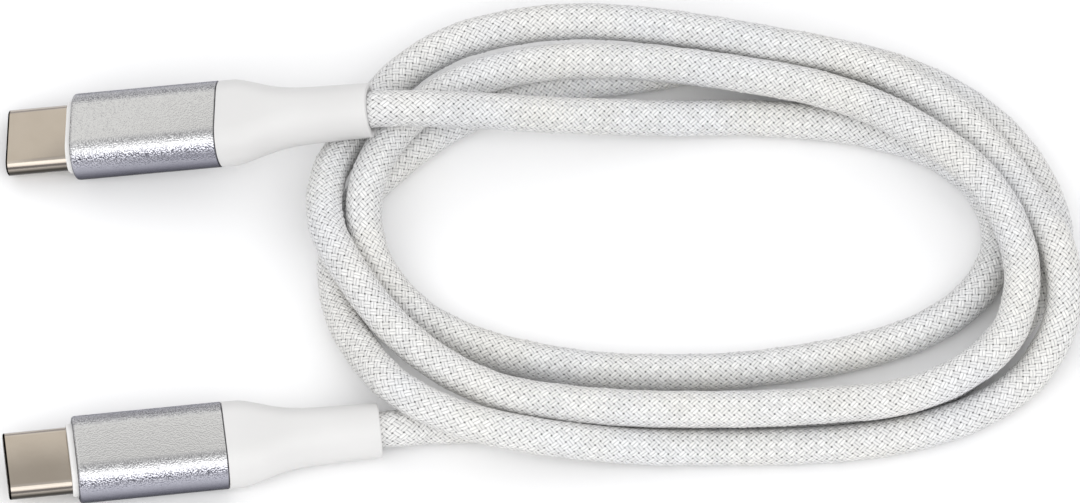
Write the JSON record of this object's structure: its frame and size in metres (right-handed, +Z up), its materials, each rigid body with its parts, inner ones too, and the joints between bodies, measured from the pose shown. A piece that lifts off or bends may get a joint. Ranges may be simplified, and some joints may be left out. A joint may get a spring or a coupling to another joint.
{
  "type": "braided charging cable",
  "caption": "White braided charging cable in a loose flat coil, a slim reversible oval plug with an aluminium sleeve and a white strain-relief boot on each end.",
  "frame": {"origin": "centre of the box round the two connectors, at floor level", "axes": "+Z up from the floor the cable lies on; +Y from the lower connector toward the upper one; +X from the plug tips toward the coil"},
  "size_m": [0.1196, 0.0624, 0.0132],
  "materials": {
    "plug_nickel": "satin nickel plating on drawn steel, slightly warm",
    "contact_plastic": "dark moulded liquid-crystal polymer",
    "core_plastic": "matte white moulded plastic",
    "sleeve_aluminium": "fine bead-blasted and anodised, cool silver grey",
    "boot_plastic": "matte white elastomer, very slightly warm",
    "cord_braid": "tight two-way braid of light grey-white polyester yarn"
  },
  "bodies": {
    "root": {"upper_plug_shell": "plug_nickel", "upper_contact_housing": "contact_plastic", "upper_core_collar": "core_plastic", "upper_sleeve": "sleeve_aluminium", "upper_boot": "boot_plastic", "lower_plug_shell": "plug_nickel", "lower_contact_housing": "contact_plastic", "lower_core_collar": "core_plastic", "lower_sleeve": "sleeve_aluminium", "lower_boot": "boot_plastic", "braided_cord": "cord_braid"}
  },
  "joints": []
}
